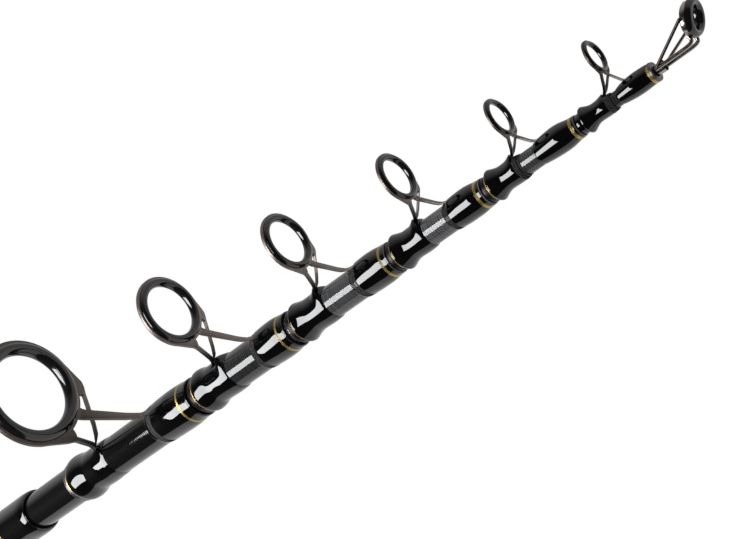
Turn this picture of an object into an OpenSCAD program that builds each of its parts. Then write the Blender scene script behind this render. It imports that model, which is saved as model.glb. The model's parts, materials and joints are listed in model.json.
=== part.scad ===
// Telescopic surf rod, closed: a butt with its reel seat, six guide sections A to F and a tip.
// The rod stands along +Z on the end of its butt cap, and section A's guide faces +X.

/* [Sections] */
// Outside diameter of section A at its mouth
blank_d = 14.8; // [14.2:0.1:16]
// Drop in diameter from one section to the next
step_d = 2.08; // [1.9:0.02:2.14]
// Wall of every tube
wall = 0.7; // [0.5:0.05:0.8]
// Radial play between a section's base and the mouth it jams in, fully drawn out
slide_gap = 0.05; // [0.03:0.01:0.08]
// Height over the rod's end at which section A's base stands when the rod is closed
base_h = 30; // [20:1:60]
// Length that stays inside the next thicker tube, fully drawn out
overlap = 30; // [20:1:36]
// Air under each stop collar when the rod is closed
seat_gap = 0.25; // [0.2:0.05:0.5]
// Turn of each guide against the one before it, in degrees
guide_fan = 8.6; // [0:0.2:12]

/* [Guides] */
// Outside diameter of the guide frame's ring on section A
ring_a_d = 40; // [36:0.5:44]
// Outside diameter of the guide frame's ring on section B
ring_b_d = 25; // [23:0.5:28]
// Outside diameter of the guide frame's ring on section C
ring_c_d = 20; // [18:0.5:22]
// Outside diameter of the guide frame's ring on section D
ring_d_d = 16; // [15:0.5:18]
// Outside diameter of the guide frame's ring on section E
ring_e_d = 12; // [11.5:0.5:14]
// Outside diameter of the guide frame's ring on section F
ring_f_d = 10; // [9.5:0.5:11]
// Air between the tube and the frame's ring, in ring radii
stand_off = 1; // [0.8:0.05:1.2]
// Distance from the ring back to where the legs reach the tube, in ring radii
rear_reach = 0.74; // [0.6:0.02:1]
// Distance from the ring forward to where the strut reaches the tube, in ring radii
front_reach = 0.62; // [0.5:0.02:0.8]
// Bore of the ceramic ring, in frame ring radii
bore_share = 0.72; // [0.66:0.01:0.76]
// Outside radius of the ceramic ring's flange, in frame ring radii
flange_share = 0.94; // [0.88:0.01:0.95]
// Thickness of the frames' feet
foot_t = 0.45; // [0.3:0.05:0.5]

/* [Wraps and trims] */
// Height of a stop collar
collar_h = 1.5; // [1:0.1:2.5]
// How far a stop collar stands out from its tube
collar_t = 0.85; // [0.7:0.05:1]
// Height of a gold ring
trim_h = 0.6; // [0.4:0.1:1]
// Width of the gold ring let into a front wrap
band_w = 0.9; // [0.6:0.1:1.6]
// Depth that a gold ring is let into its wrap
band_t = 0.15; // [0.1:0.05:0.25]
// Length of a bell before its guide's share is added
bell_base = 3.1; // [2.5:0.1:5]
// Growth of a bell's length, in ring radii
bell_grow = 1.04; // [0.9:0.02:1.2]
// Height of a bell's lip over its tube
lip_t = 1.72; // [1.4:0.05:2]
// Thickness of the lacquered wraps over the tubes
wrap_t = 0.58; // [0.56:0.02:0.9]
// Length of a front wrap before its guide's share is added
wrap_base = 9.2; // [8:0.1:11]
// Growth of a front wrap's length, in ring radii
wrap_grow = 0.81; // [0.7:0.01:1]
// Length of the front wrap on section F, the last one
end_wrap_len = 8.5; // [7.5:0.5:12]
// Bare rim of a tube left in front of its wrap
rim_h = 0.6; // [0.3:0.1:1]

/* [Butt and handle] */
// Height of the butt tube's mouth over the end of the cap
butt_len = 500; // [450:1:560]
// Bare length of section A between the butt's mouth and A's collar, closed
stand_out = 30; // [10:1:50]
// Diameter of the rubber butt cap
cap_d = 32; // [30:0.5:38]
// Length of the butt cap
cap_len = 34; // [26:1:45]
// Rubber under the end of the butt tube
cap_floor = 6; // [4:0.5:10]
// Diameter of the two foam grips
grip_d = 27; // [25:0.5:31]
// Length of the fore grip
fore_grip_len = 65; // [40:5:75]
// Height of a metal winding check
check_h = 4; // [3:0.5:6]
// Bare tube between the fore grip's check and the wrap at the butt's mouth
bare_len = 42.5; // [10:0.5:60]
// Length of the lacquered wrap at the butt's mouth
butt_wrap_len = 45; // [35:1:50]
// Distance of the butt's gold ring from the butt's mouth
butt_band_back = 19.5; // [10:0.5:25]

/* [Reel seat] */
// Diameter of the reel seat's threaded body
seat_d = 25; // [24:0.5:28]
// Length of each hood
hood_len = 22; // [18:1:26]
// Open bed between the two hoods, closed
bed_len = 48; // [40:1:60]
// Slide of the moving hood along the thread
hood_travel = 24; // [15:1:30]
// Height of the hoods' pockets over the bed
pocket_h = 5.4; // [5:0.2:7]
// Width of the hoods' pockets
pocket_w = 17; // [15:0.5:18]
// Depth of the hoods' pockets
pocket_len = 16; // [12:1:17]
// Length of the lock nut
nut_len = 14; // [10:0.5:18]
// Pitch of the seat's thread
thread_pitch = 3; // [2:0.5:4]
// Depth of the seat's thread
thread_t = 0.8; // [0.5:0.1:1]
// Radial play of the hood and the nut on the seat
seat_gap_r = 0.06; // [0.03:0.01:0.1]

/* [Tip-top] */
// Outside diameter of the tip-top's ring
tip_ring_d = 10.3; // [9.5:0.1:11]
// Height of the tip-top's ring centre over the rod's axis
tip_ring_x = 5.8; // [5.6:0.1:7]
// Distance of the tip-top's ring centre from section F's mouth
tip_ring_z = 15.2; // [14.5:0.1:17]
// Forward lean of the tip-top's ring, in degrees
tip_lean = 25; // [15:1:30]
// Length of the tip-top's ferrule
ferrule_len = 2.5; // [2:0.5:6]
// Wall of the ferrule
ferrule_wall = 0.4; // [0.35:0.05:0.5]
// Thickness of the tip-top's wires
wire_d = 1.1; // [0.9:0.1:1.2]

/* [Hidden] */
$fn = 96;
small_fn = 24;
LETTERS = ["a", "b", "c", "d", "e", "f"];
SECTIONS = [0:len(LETTERS) - 1];
BUTT = -1;
TIP = len(LETTERS);
SECTION_PIECES = ["tube", "stop_collar", "bell", "front_wrap", "gold_rings", "guide_frame", "guide_ring"];
BUTT_PIECES = [
    "butt_tube", "end_plug", "butt_cap", "rear_grip", "winding_checks", "reel_seat",
    "sliding_hood", "lock_nut", "fore_grip", "butt_wrap", "butt_gold_ring"
];
TIP_PIECES = ["tip_rod", "tip_ferrule", "tip_frame", "tip_ring"];

// Finishes
carbon = [0.13, 0.13, 0.14];
lacquer = [0.03, 0.03, 0.035];
gold = [0.75, 0.62, 0.3];
pewter = [0.45, 0.43, 0.45];
gunmetal = [0.36, 0.33, 0.31];
ceramic = [0.06, 0.06, 0.07];
foam = [0.09, 0.09, 0.09];
steel = [0.66, 0.64, 0.62];

// Small fixed proportions of the wraps, as shares of a bell's or a wrap's length
neck_at = 0.46;
crown_at = 0.42;
shoulder_at = 0.68;
tail_at = 0.95;
edge_t = 0.1;
heel_base = 3.5;
heel_grow = 0.16;
band_edge = 0.2;
band_grow = 0.24;
curve_steps = 10;

// Differences of hand work, section A to F: more air under the collar, length of the bell and the
// front wrap, how far the lacquer flows past the guide's rear and front landing, how much higher the
// ring stands, and the bell's lip: where it is in the bell's length and how it falls to the neck, below
// 1 from a sharper crest
collar_lift = [0, 1.4, 1.5, 0, 0, 0];
bell_trim = [0, -1.4, 0.4, 0, 1, 0.6];
wrap_trim = [0, -1.9, 0, -1, 0, 0];
bell_flow = [0.3, 3.5, 1.5, 1.5, 1.5, 1.5];
wrap_flow = [-0.8, -0.3, -0.7, 0.5, 0.8, 3.6];
stand_trim = [-1.6, 1.6, -0.3, -1, -0.4, 0.4];
lip_at = [0.1, 0.13, 0.04, 0.05, 0.06, 0.07];
lip_fall = [1, 1, 0.6, 0.6, 0.6, 0.6];

// Clearances of pieces that are glued or pressed together
glue_gap = 0.04;
seat_play = 0.02;

// Reach of a cut past the face it opens
over = 1;

// Slide of each section, closed to fully drawn out
travel = butt_len - overlap - base_h;

// Stations along the rod, from the butt (-1) through A to F (0 to 5) to the tip (6)
function ring_r(i) = [ring_a_d, ring_b_d, ring_c_d, ring_d_d, ring_e_d, ring_f_d][i] / 2;
function is_last(i) = i == TIP - 1;
function bell_len(i) = bell_base + bell_grow * ring_r(i) + bell_trim[i];
function wrap_len(i) = is_last(i) ? end_wrap_len : wrap_base + wrap_grow * ring_r(i) + wrap_trim[i];
function collar_z(i) = mouth_z(i - 1) + (i == 0 ? stand_out : seat_gap) + collar_lift[i];
function bell_z(i) = collar_z(i) + collar_h + (is_last(i) ? 0 : trim_h);
function bell_end(i) = bell_z(i) + bell_len(i) + bell_flow[i];
function guide_z(i) = bell_z(i) + bell_len(i) + rear_reach * ring_r(i);
function toe_z(i) = guide_z(i) + front_reach * ring_r(i);
function wrap_z(i) = toe_z(i) - wrap_flow[i];
function mouth_z(i) =
    i == BUTT ? butt_len
    : i == TIP ? mouth_z(TIP - 1) + seat_gap + ferrule_len - ferrule_wall
    : toe_z(i) + wrap_len(i);
function base_z(i) = i == BUTT ? cap_floor : mouth_z(i - 1) - travel - overlap;

// Tubes taper so that each base just fills the mouth of the next thicker tube when drawn out
function mouth_r(i) = (blank_d - i * step_d) / 2;
function drawn_len(i) = mouth_z(i) - mouth_z(i - 1) + travel;
function slope(i) = (step_d / 2 - wall - slide_gap) / drawn_len(max(i, 0));
function tube_r(i, z) = mouth_r(i) + slope(i) * (mouth_z(i) - z);

// Thickness of a bell at a height z, and of a front wrap along its length, u from 0 to 1
function ease(a, b, t) = a + (b - a) * (1 - cos(180 * t)) / 2;
function bulge(t) = sqrt(max(0, 1 - (1 - t) * (1 - t)));
function lip_z(i) = bell_z(i) + lip_at[i] * bell_len(i);
function neck_z(i) = bell_z(i) + neck_at * bell_len(i);
function heel_z(i) = max(neck_z(i), bell_end(i) - heel_base - heel_grow * ring_r(i));
function bell_t(i, z) =
    z < lip_z(i) ? collar_t + (lip_t - collar_t) * bulge((z - bell_z(i)) / (lip_z(i) - bell_z(i)))
    : z < neck_z(i) ? ease(lip_t, wrap_t, pow((z - lip_z(i)) / (neck_z(i) - lip_z(i)), lip_fall[i]))
    : z < heel_z(i) ? wrap_t
    : edge_t + (wrap_t - edge_t) * bulge((bell_end(i) - z) / (bell_end(i) - heel_z(i)));
function front_t(i, u) =
    u < crown_at ? edge_t + (wrap_t - edge_t) * sin(90 * u / crown_at)
    : u < shoulder_at || is_last(i) ? wrap_t
    : u < tail_at ? ease(wrap_t, edge_t, (u - shoulder_at) / (tail_at - shoulder_at))
    : edge_t;
function stretch(a, b) = [for (k = [0:curve_steps]) a + (b - a) * k / curve_steps];

// Guides, in ring radii unless they are lengths
plate_base = 0.25;
plate_grow = 0.06;
seat_out = 0.03;
seat_share = (bore_share + flange_share) / 2 + seat_out;
nose_share = 0.12;
tail_share = 0.08;
root_x = 0.5;
root_y = 0.862;
root_inner_y = 0.5;
shoulder_x = 0.93;
shoulder_y = 0.64;
knee_x = 1.02;
knee_y = 0.46;
crotch_x = 0.92;
crotch_y = 0.36;
leg_top = 0.8;
leg_fold = 0.97;
leg_y = 0.55;
neck_down = 0.16;
leg_half_base = 0.28;
leg_half_grow = 0.02;
leg_bend = 0.45;
strut_top = 0.9;
strut_fold = 1.06;
strut_waist = 1.12;
strut_w = 0.09;
strut_flare = 0.12;
strut_foot = 0.6;
strut_bend = 0.3;
thin_at = 0.1;
foot_half_base = 0.5;
foot_half_grow = 0.05;
foot_len_share = 0.5;
foot_len_base = 3;
fold_share = 0.06;
frame_depth = 3;
ring_step = 15;
function plate_t(i) = plate_base + plate_grow * ring_r(i);
function leg_half(i) = leg_half_base + leg_half_grow * ring_r(i);
function foot_half(i) = foot_half_base + foot_half_grow * ring_r(i);
function foot_len(i) = foot_len_base + foot_len_share * ring_r(i);
function foot_r(i, z) = tube_r(i, z) + glue_gap + foot_t / 2;
function ring_x(i) = tube_r(i, guide_z(i)) + (stand_off + 1) * ring_r(i) + stand_trim[i];
function turn(i) = -guide_fan * i;

// A polyline whose middle corner is rounded by a short curve
bend_steps = 4;
function mix(a, b, t) = a + (b - a) * t;
function curve(a, b, c, t) = mix(mix(a, b, t), mix(b, c, t), t);
function rounded(a, b, c, d) =
    let (p = b + (a - b) / norm(a - b) * d, q = b + (c - b) / norm(c - b) * d)
    concat([a], [for (k = [0:bend_steps]) curve(p, b, q, k / bend_steps)], [c]);

// A sheet strip along a path, with its own half thickness at each point
function along(path, k) =
    let (a = path[max(k - 1, 0)], b = path[min(k + 1, len(path) - 1)])
    (b - a) / norm(b - a);
function beside(path, half, k, side) =
    let (d = along(path, k))
    path[k] + side * half[k] * [-d[1], d[0]];
function strip(path, half) = concat(
    [for (k = [0:len(path) - 1]) beside(path, half, k, 1)],
    [for (k = [len(path) - 1:-1:0]) beside(path, half, k, -1)]
);

// Handle stations
check_t = 3;
grip_round = 3;
grip_arc = [0:22.5:90];
plug_gap = 0.3;
seat_len = 2 * hood_len + bed_len + nut_len + hood_travel + 2 * seat_gap;
rear_grip_len =
    butt_len - butt_wrap_len - bare_len - fore_grip_len - 2 * check_h - seat_len - cap_len;
rear_grip_z = cap_len;
rear_check_z = rear_grip_z + rear_grip_len;
seat_z = rear_check_z + check_h;
hood_z = seat_z + hood_len + bed_len;
nut_z = hood_z + hood_len + seat_gap;
fore_grip_z = seat_z + seat_len;
fore_check_z = fore_grip_z + fore_grip_len;
seat_r = seat_d / 2;
bed_step = 1;
bed_x = seat_r - thread_t - bed_step;
hood_wall = 2;
hood_r = seat_r + hood_wall;
crest_x = bed_x + pocket_h + hood_wall / 2 - pocket_w / 2;
crest_r = pocket_w / 2 + 2 * hood_wall;
knurl_d = 2.4;
knurls = 20;

// Tip-top stations
tip_r = tip_ring_d / 2;
tip_top_z = mouth_z(TIP - 1) + seat_gap;
ferrule_r = mouth_r(TIP) + slope(TIP) * ferrule_len + ferrule_wall;
tip_rim_share = 0.88;
tip_bore_share = 0.54;
tip_seat_share = (tip_bore_share + 1) / 2 + seat_out;
tip_nose = 0.33;
tip_rim_t = 1.4;
loop_sag = 0.4;
loop_angle = 25;
solder = 0.25;
bead = 1.04;

// Turned shapes

// A tapered tube along its own section's taper, z0 to z1
module tapered(i, z0, z1, bore_wall) {
    rotate_extrude()
        polygon([
            [tube_r(i, z0) - bore_wall, z0],
            [tube_r(i, z0), z0],
            [tube_r(i, z1), z1],
            [tube_r(i, z1) - bore_wall, z1]
        ]);
}

// The full round of a tube's outside, to cut the pieces that sit on it
module tube_core(i, z0, z1) {
    rotate_extrude()
        polygon([[0, z0], [tube_r(i, z0), z0], [tube_r(i, z1), z1], [0, z1]]);
}

// A sleeve that sits on a tube, with a straight outside
module sleeve(i, z0, z1, out_r) {
    rotate_extrude()
        polygon([[tube_r(i, z0), z0], [out_r, z0], [out_r, z1], [tube_r(i, z1), z1]]);
}

// A wrap on a tube, whose skin is a list of [z, thickness]
module skin(i, outline) {
    z0 = outline[0][0];
    z1 = outline[len(outline) - 1][0];
    rotate_extrude()
        polygon(concat(
            [[tube_r(i, z0), z0]],
            [for (p = outline) [tube_r(i, p[0]) + p[1], p[0]]],
            [[tube_r(i, z1), z1]]
        ));
}

// The gold ring's place in a wrap, as shares of the wrap's length
function band_u(z0, z1, back) = [
    (mouth_end(z1) - back - band_w / 2 - z0) / (z1 - z0),
    (mouth_end(z1) - back + band_w / 2 - z0) / (z1 - z0)
];
function mouth_end(z1) = z1 + rim_h;

// A front wrap's skin, as shares of its length, with the groove for its gold ring
function wrap_us() = concat(stretch(0, crown_at), stretch(shoulder_at, tail_at), [1]);
function grooved(i, g) = concat(
    [for (u = wrap_us()) if (u < g[0]) [u, front_t(i, u)]],
    [[g[0], front_t(i, g[0])], [g[0], groove_t(i, g)], [g[1], groove_t(i, g)], [g[1], front_t(i, g[1])]],
    [for (u = wrap_us()) if (u > g[1]) [u, front_t(i, u)]]
);
function groove_t(i, g) = max(edge_t / 2, front_t(i, g[1]) - band_t);

module lacquer_wrap(i, z0, z1, back) {
    skin(i, [for (p = grooved(i, band_u(z0, z1, back))) [mix(z0, z1, p[0]), p[1]]]);
}

module wrap_band(i, z0, z1, back) {
    g = band_u(z0, z1, back);
    za = mix(z0, z1, g[0]);
    zb = mix(z0, z1, g[1]);
    rotate_extrude()
        polygon([
            [tube_r(i, za) + groove_t(i, g), za],
            [tube_r(i, za) + front_t(i, g[0]), za],
            [tube_r(i, zb) + front_t(i, g[1]), zb],
            [tube_r(i, zb) + groove_t(i, g), zb]
        ]);
}

function band_back(i) = rim_h + band_edge + band_w / 2 + band_grow * (ring_r(i) - ring_r(TIP - 1));
function wrap_end(i) = mouth_z(i) - rim_h;

// Sections A to F

// Conical carbon tube of a section
module tube(i) {
    color(carbon) tapered(i, base_z(i), mouth_z(i), wall);
}

// Collar that stops the closed section on the mouth below: metal, but for the last section's lacquered one
module stop_collar(i) {
    z0 = collar_z(i);
    color(is_last(i) ? lacquer : pewter) sleeve(i, z0, z0 + collar_h, tube_r(i, z0) + collar_t);
}

// Flared lacquered wrap over the guide's rear foot
module bell(i) {
    bell_zs = concat(
        stretch(bell_z(i), lip_z(i)),
        [for (z = stretch(lip_z(i), neck_z(i))) if (z > lip_z(i)) z],
        [for (z = stretch(heel_z(i), bell_end(i))) if (z > neck_z(i)) z]
    );
    color(lacquer)
        difference() {
            skin(i, [for (z = bell_zs) [z, bell_t(i, z)]]);
            frame_solid(i);
        }
}

// Lacquered wrap over the guide's front foot, up to the mouth
module front_wrap(i) {
    color(lacquer)
        difference() {
            lacquer_wrap(i, wrap_z(i), wrap_end(i), band_back(i));
            frame_solid(i);
        }
}

// Gold rings: one let into the front wrap and, but for the last section, one over the stop collar
module gold_rings(i) {
    z0 = collar_z(i) + collar_h;
    color(gold) {
        if (!is_last(i)) sleeve(i, z0, z0 + trim_h, tube_r(i, z0) + collar_t);
        wrap_band(i, wrap_z(i), wrap_end(i), band_back(i));
    }
}

// Guide frames: everything below is drawn with the ring's plane at z = 0 and x away from the rod
module at_guide(i) {
    rotate([0, 0, turn(i)])
        translate([0, 0, guide_z(i)])
            children();
}

// A strip of sheet seen from the side, trimmed to an outline seen along the rod
module folded(path, half, outline, reach, depth) {
    intersection() {
        rotate([90, 0, 0])
            linear_extrude(2 * reach, center = true)
                polygon(strip(path, half));
        translate([0, 0, -depth])
            linear_extrude(2 * depth)
                polygon(outline);
    }
}

// Ring plate of a guide frame with its two shoulders
module ring_plate(i) {
    r = ring_r(i);
    t = plate_t(i);
    translate([ring_x(i), 0, -t])
        difference() {
            union() {
                cylinder(h = t, r = r);
                for (side = [-1, 1])
                    linear_extrude(t)
                        polygon([
                            [-root_x * r, side * root_y * r],
                            [-shoulder_x * r, side * shoulder_y * r],
                            [-knee_x * r, side * knee_y * r],
                            [-crotch_x * r, side * crotch_y * r],
                            [-root_x * r, side * root_inner_y * r]
                        ]);
            }
            translate([0, 0, -t])
                cylinder(h = 3 * t, r = seat_share * r + seat_play);
        }
}

// The bent strip from a ring down to the tube and along it, seen from the side
function bent(i, top, fold, reach, bend) =
    let (
        t = plate_t(i) / 2,
        r = ring_r(i),
        h = ring_x(i),
        low = foot_r(i, guide_z(i) + reach),
        end = reach + sign(reach) * foot_len(i),
        upper = rounded([h - top * r, -t], [h - fold * r, -t], [low, reach], fold_share * r),
        lower = rounded([h - fold * r, -t], [low, reach], [low, end], bend * r)
    )
    concat([for (k = [0:bend_steps + 1]) upper[k]], [for (k = [1:bend_steps + 2]) lower[k]]);

// Its half thickness: full in the air, thin in the foot
function bent_half(i, path) =
    let (low = path[len(path) - 1][0])
    [for (p = path) p[0] > low + thin_at * ring_r(i) ? plate_t(i) / 2 : foot_t / 2];

// One strut from the bottom of the ring forward to the front foot
module strut(i) {
    r = ring_r(i);
    h = ring_x(i);
    f = strut_foot * foot_half(i);
    path = bent(i, shoulder_x, strut_fold, front_reach * r, strut_bend);
    low = path[len(path) - 1][0];
    outline = [
        [h - strut_top * r, -strut_flare * r],
        [h - strut_top * r, strut_flare * r],
        [h - strut_waist * r, strut_w * r],
        [low + foot_t, f],
        [low - foot_t, f],
        [low - foot_t, -f],
        [low + foot_t, -f],
        [h - strut_waist * r, -strut_w * r]
    ];
    folded(path, bent_half(i, path), outline, r, frame_depth * r);
}

// Two legs from the shoulders back to the rear foot, where they meet
module legs(i) {
    r = ring_r(i);
    h = ring_x(i);
    f = foot_half(i);
    path = bent(i, leg_top, leg_fold, -rear_reach * r, leg_bend);
    low = path[len(path) - 1][0];
    for (side = [-1, 1]) {
        top = [h - shoulder_x * r, side * leg_y * r];
        toe = [low + foot_t + leg_half(i), side * (f - leg_half(i))];
        neck = mix(top, toe, neck_down);
        across = side * leg_half(i) * [top[1] - toe[1], toe[0] - top[0]] / norm(toe - top);
        folded(path, bent_half(i, path), [
            [h - leg_top * r, side * shoulder_y * r],
            [h - shoulder_x * r, side * shoulder_y * r],
            neck - across,
            toe - across,
            [low + foot_t, side * f],
            [low - foot_t, side * f],
            [low - foot_t, 0],
            [low + foot_t, 0],
            toe + across,
            neck + across,
            [h - crotch_x * r, side * crotch_y * r],
            [h - leg_top * r, side * crotch_y * r]
        ], r, frame_depth * r);
    }
}

module frame_solid(i) {
    at_guide(i) {
        ring_plate(i);
        strut(i);
        legs(i);
    }
}

// Stamped metal frame of a guide
module guide_frame(i) {
    color(gunmetal) frame_solid(i);
}

// Rounded ring section: bore, flange and waist radii, nose over the seat and tail behind it
function ring_section(bore, flange, waist, nose, tail) =
    let (mid = (bore + flange) / 2, half = (nose + tail) / 2)
    concat(
        [for (a = [270:-ring_step:90]) [mid + (mid - bore) * cos(a), half + (nose - half) * sin(a)]],
        [for (a = [90 - ring_step:-ring_step:0]) [mid + (flange - mid) * cos(a), nose * sin(a)]],
        [[waist, 0], [waist, tail + nose / 3], [(mid + waist) / 2, tail]]
    );

// Black ceramic ring of a guide
module guide_ring(i) {
    r = ring_r(i);
    color(ceramic)
        at_guide(i)
            translate([ring_x(i), 0, 0])
                rotate_extrude()
                    polygon(ring_section(
                        bore_share * r, flange_share * r, seat_share * r,
                        nose_share * r, -plate_t(i) - tail_share * r
                    ));
}

// Butt and handle

// Conical carbon tube that the handle sits on
module butt_tube() {
    color(carbon) tapered(BUTT, cap_floor, butt_len, wall);
}

// Plastic plug in the end of the butt tube, which section A stands on
module end_plug() {
    top = base_z(0) - plug_gap;
    color(ceramic)
        rotate_extrude()
            polygon([
                [0, cap_floor],
                [tube_r(BUTT, cap_floor) - wall, cap_floor],
                [tube_r(BUTT, top) - wall, top],
                [0, top]
            ]);
}

// Rubber cap over the end of the butt tube
module butt_cap() {
    r = cap_d / 2;
    color(foam)
        rotate_extrude()
            polygon([
                [0, 0],
                [r - grip_round, 0],
                [r, grip_round],
                [r, cap_len],
                [tube_r(BUTT, cap_len), cap_len],
                [tube_r(BUTT, cap_floor), cap_floor],
                [0, cap_floor]
            ]);
}

// A foam grip with rounded ends
module grip(z0, z1) {
    r = grip_d / 2;
    color(foam)
        rotate_extrude()
            polygon(concat(
                [[tube_r(BUTT, z0), z0]],
                [for (a = grip_arc) [r - grip_round * (1 - sin(a)), z0 + grip_round * (1 - cos(a))]],
                [for (a = grip_arc) [r - grip_round * (1 - cos(a)), z1 - grip_round * (1 - sin(a))]],
                [[tube_r(BUTT, z1), z1]]
            ));
}

module rear_grip() {
    grip(rear_grip_z, rear_check_z);
}

module fore_grip() {
    grip(fore_grip_z, fore_check_z);
}

// Metal rings that close the ends of the rear and the fore grip
module winding_checks() {
    color(pewter)
        for (z = [rear_check_z, fore_check_z])
            rotate_extrude()
                polygon([
                    [tube_r(BUTT, z), z],
                    [tube_r(BUTT, z) + check_t, z],
                    [tube_r(BUTT, z) + check_t / 2, z + check_h],
                    [tube_r(BUTT, z + check_h), z + check_h]
                ]);
}

// The outside of a hood: a ring round the seat with a crest over the reel foot
module hood_outside(z0) {
    translate([0, 0, z0]) {
        cylinder(h = hood_len, r = hood_r);
        intersection() {
            translate([crest_x, 0, 0])
                cylinder(h = hood_len, r = crest_r);
            translate([0, -crest_r, 0])
                cube([bed_x + pocket_h + hood_wall, 2 * crest_r, hood_len]);
        }
    }
}

// Room for one end of the reel foot
module foot_room(z0, depth) {
    translate([bed_x, -pocket_w / 2, z0])
        cube([pocket_h, pocket_w, depth]);
}

// Reel seat: threaded body with a flat bed and a fixed hood at its lower end
module reel_seat() {
    thread_z = seat_z + hood_len + bed_len + hood_len / 2;
    turns = floor((seat_z + seat_len - thread_z) / thread_pitch) - 1;
    color(lacquer)
        difference() {
            union() {
                translate([0, 0, seat_z]) cylinder(h = seat_len, r = seat_r);
                hood_outside(seat_z);
            }
            tube_core(BUTT, seat_z - over, seat_z + seat_len + over);
            foot_room(seat_z + hood_len - pocket_len, pocket_len + over);
            translate([bed_x, -hood_r, seat_z + hood_len])
                cube([hood_r, 2 * hood_r, seat_len]);
            for (k = [0:turns])
                translate([0, 0, thread_z + k * thread_pitch])
                    rotate_extrude()
                        polygon([
                            [seat_r - thread_t, thread_pitch / 2],
                            [seat_r + thread_t, thread_pitch / 2 - thread_t],
                            [seat_r + thread_t, thread_pitch / 2 + thread_t]
                        ]);
        }
}

// Hood that slides along the seat, keyed by its flat, and clamps the reel foot
module sliding_hood() {
    color(lacquer)
        difference() {
            hood_outside(hood_z);
            intersection() {
                translate([0, 0, hood_z - over])
                    cylinder(h = hood_len + 2 * over, r = seat_r + seat_gap_r);
                translate([-hood_r, -hood_r, hood_z - over])
                    cube([hood_r + bed_x + seat_gap_r, 2 * hood_r, hood_len + 2 * over]);
            }
            foot_room(hood_z - over, pocket_len + over);
        }
}

// Knurled nut that drives the hood along the thread
module lock_nut() {
    color(pewter)
        difference() {
            translate([0, 0, nut_z]) cylinder(h = nut_len, r = hood_r);
            translate([0, 0, nut_z - over]) cylinder(h = nut_len + 2 * over, r = seat_r + seat_gap_r);
            for (k = [0:knurls - 1])
                rotate([0, 0, 360 * k / knurls])
                    translate([hood_r + knurl_d / 4, 0, nut_z + nut_len / 4])
                        cylinder(h = nut_len, d = knurl_d, $fn = small_fn);
        }
}

// Lacquered wrap at the butt's mouth
module butt_wrap() {
    color(lacquer)
        lacquer_wrap(BUTT, butt_len - butt_wrap_len, butt_len - rim_h, butt_band_back);
}

// Gold ring let into the butt's wrap
module butt_gold_ring() {
    color(gold)
        wrap_band(BUTT, butt_len - butt_wrap_len, butt_len - rim_h, butt_band_back);
}

// Tip section

// Solid tapered tip
module tip_rod() {
    color(carbon) tube_core(TIP, base_z(TIP), mouth_z(TIP));
}

// Metal cap on the end of the tip, which stops on section F's mouth
module tip_ferrule() {
    color(steel)
        difference() {
            translate([0, 0, tip_top_z]) cylinder(h = ferrule_len, r = ferrule_r);
            tube_core(TIP, tip_top_z - over, mouth_z(TIP));
        }
}

// A straight bit of wire with a round end
module wire(a, b) {
    d = b - a;
    translate(a)
        rotate([0, acos(d[2] / norm(d)), atan2(d[1], d[0])])
            cylinder(h = norm(d), d = wire_d, $fn = small_fn);
    translate(b) sphere(d = bead * wire_d, $fn = small_fn);
}

module wires(points) {
    for (k = [0:len(points) - 2]) wire(points[k], points[k + 1]);
}

// The tip-top's ring, drawn in its own leaning plane
module at_tip_ring() {
    rotate([0, 0, turn(TIP)])
        translate([tip_ring_x, 0, mouth_z(TIP - 1) + tip_ring_z])
            rotate([0, -tip_lean, 0])
                children();
}

// A point of the tip-top's ring plane in the section's own frame
function on_ring(x, y, z) = [
    tip_ring_x + x * cos(tip_lean) - z * sin(tip_lean),
    y,
    mouth_z(TIP - 1) + tip_ring_z + x * sin(tip_lean) + z * cos(tip_lean)
];

// Steel rim, two braces to its sides and two wires that curl up to it from below
module tip_frame() {
    rim = tip_rim_share * tip_r;
    join = rim + wire_d / 2 - solder;
    loop_end = on_ring(-join * cos(loop_angle), join * sin(loop_angle), -tip_rim_t);
    y = ferrule_r + wire_d / 2 - seat_play;
    z0 = tip_top_z + wire_d / 2;
    z1 = loop_end[2] - 2 * wire_d;
    color(steel)
        difference() {
            union() {
                at_tip_ring()
                    translate([0, 0, -tip_rim_t])
                        cylinder(h = tip_rim_t, r = rim);
                rotate([0, 0, turn(TIP)])
                    for (side = [-1, 1])
                        scale([1, side, 1]) {
                            wires([[0, y, z0], on_ring(0, join, -tip_rim_t)]);
                            wires([
                                [0, y, z0],
                                [0, y, z1],
                                [-loop_sag, y, z1 + wire_d],
                                [loop_sag, y, z1 + 2 * wire_d],
                                loop_end
                            ]);
                        }
            }
            at_tip_ring()
                translate([0, 0, -tip_rim_t - over])
                    cylinder(h = tip_rim_t + 2 * over, r = tip_seat_share * tip_r + seat_play);
        }
}

// Black ceramic ring of the tip-top
module tip_ring() {
    color(ceramic)
        at_tip_ring()
            rotate_extrude()
                polygon(ring_section(
                    tip_bore_share * tip_r, tip_r, tip_seat_share * tip_r,
                    tip_nose * tip_r, -tip_rim_t - tail_share * tip_r
                ));
}

butt_tube();
end_plug();
butt_cap();
rear_grip();
winding_checks();
reel_seat();
sliding_hood();
lock_nut();
fore_grip();
butt_wrap();
butt_gold_ring();
for (i = SECTIONS) {
    tube(i);
    stop_collar(i);
    bell(i);
    front_wrap(i);
    gold_rings(i);
    guide_frame(i);
    guide_ring(i);
}
tip_rod();
tip_ferrule();
tip_frame();
tip_ring();
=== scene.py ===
import bpy
import bmesh
import json
from math import atan2, cos, exp, hypot, pi, radians, sin
from mathutils import Matrix, Quaternion, Vector

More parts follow.
